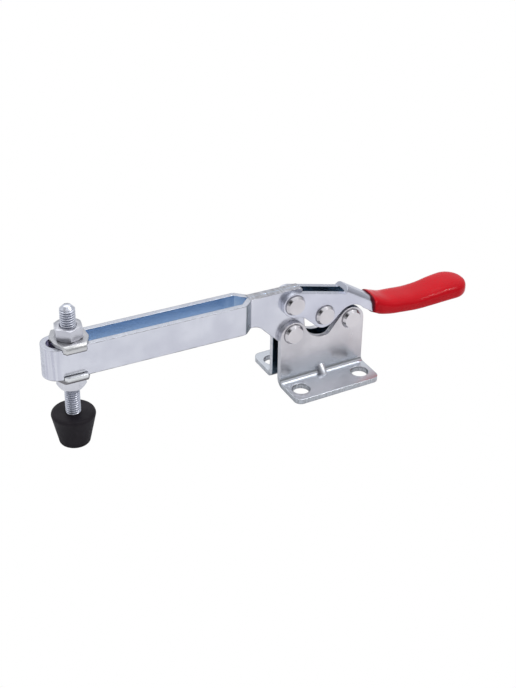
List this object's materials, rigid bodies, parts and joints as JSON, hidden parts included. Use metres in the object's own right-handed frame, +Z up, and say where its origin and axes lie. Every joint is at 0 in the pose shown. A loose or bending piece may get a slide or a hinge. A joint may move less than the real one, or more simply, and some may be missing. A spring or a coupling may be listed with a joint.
{
  "type": "toggle clamp",
  "caption": "Horizontal toggle clamp: a dipped handle swings over centre and locks a long slotted bar down, which presses with an adjustable rubber-tipped spindle.",
  "frame": {"origin": "centre of the four mounting holes, on the underside of the two base brackets", "axes": "+X from the pressing spindle towards the hand grip, +Y across the clamp, +Z up from the mounting surface"},
  "size_m": [0.1934, 0.0398, 0.0611],
  "materials": {
    "zinc_plated_steel": "bright blue-white zinc plate, satin",
    "red_vinyl": "soft dipped vinyl, low gloss",
    "black_rubber": "moulded, matt"
  },
  "bodies": {
    "base": {"base_bracket_left": "zinc_plated_steel", "base_bracket_right": "zinc_plated_steel", "rivet_base_to_bar": "zinc_plated_steel", "rivet_base_to_link": "zinc_plated_steel"},
    "bar": {"clamping_bar": "zinc_plated_steel"},
    "handle": {"handle": "zinc_plated_steel", "handle_grip": "red_vinyl", "rivet_bar_to_handle": "zinc_plated_steel", "rivet_handle_to_link": "zinc_plated_steel"},
    "link": {"link_plate_left": "zinc_plated_steel", "link_plate_right": "zinc_plated_steel"},
    "washers": {"upper_flanged_washer": "zinc_plated_steel", "lower_flanged_washer": "zinc_plated_steel"},
    "spindle": {"threaded_spindle": "zinc_plated_steel", "rubber_tip": "black_rubber"},
    "upper_nut": {"upper_hex_nut": "zinc_plated_steel"},
    "lower_nut": {"lower_hex_nut": "zinc_plated_steel"}
  },
  "joints": [
    {"name": "bar_lift", "type": "hinge", "parent": "base", "child": "bar", "pos_m": [-0.0138, 0, 0.0243], "axis": [0, 1, 0], "range_deg": [0, 82]},
    {"name": "handle_swing", "type": "hinge", "parent": "bar", "child": "handle", "pos_m": [-0.01348, 0, 0.03785], "axis": [0, 1, 0], "range_deg": [-158.9, 0]},
    {"name": "link_swing", "type": "hinge", "parent": "handle", "child": "link", "pos_m": [0.00088, 0, 0.02943], "axis": [0, 1, 0], "range_deg": [0, 134.07]},
    {"name": "washer_slide", "type": "slide", "parent": "bar", "child": "washers", "axis": [0.9997, 0, -0.0237], "range_m": [-0.005, 0.043]},
    {"name": "spindle_height", "type": "slide", "parent": "washers", "child": "spindle", "axis": [0.0237, 0, 0.9997], "range_m": [-0.008, 0.008]},
    {"name": "upper_nut_turn", "type": "hinge", "parent": "washers", "child": "upper_nut", "pos_m": [-0.10795, 0, 0.04843], "axis": [0.0237, 0, 0.9997], "continuous": true},
    {"name": "lower_nut_turn", "type": "hinge", "parent": "washers", "child": "lower_nut", "pos_m": [-0.10843, 0, 0.02853], "axis": [0.0237, 0, 0.9997], "continuous": true}
  ],
  "couplings": [
    {"joint": "handle_swing", "follows": "bar_lift", "ratio": -1.9377},
    {"joint": "link_swing", "follows": "bar_lift", "ratio": 1.635}
  ]
}
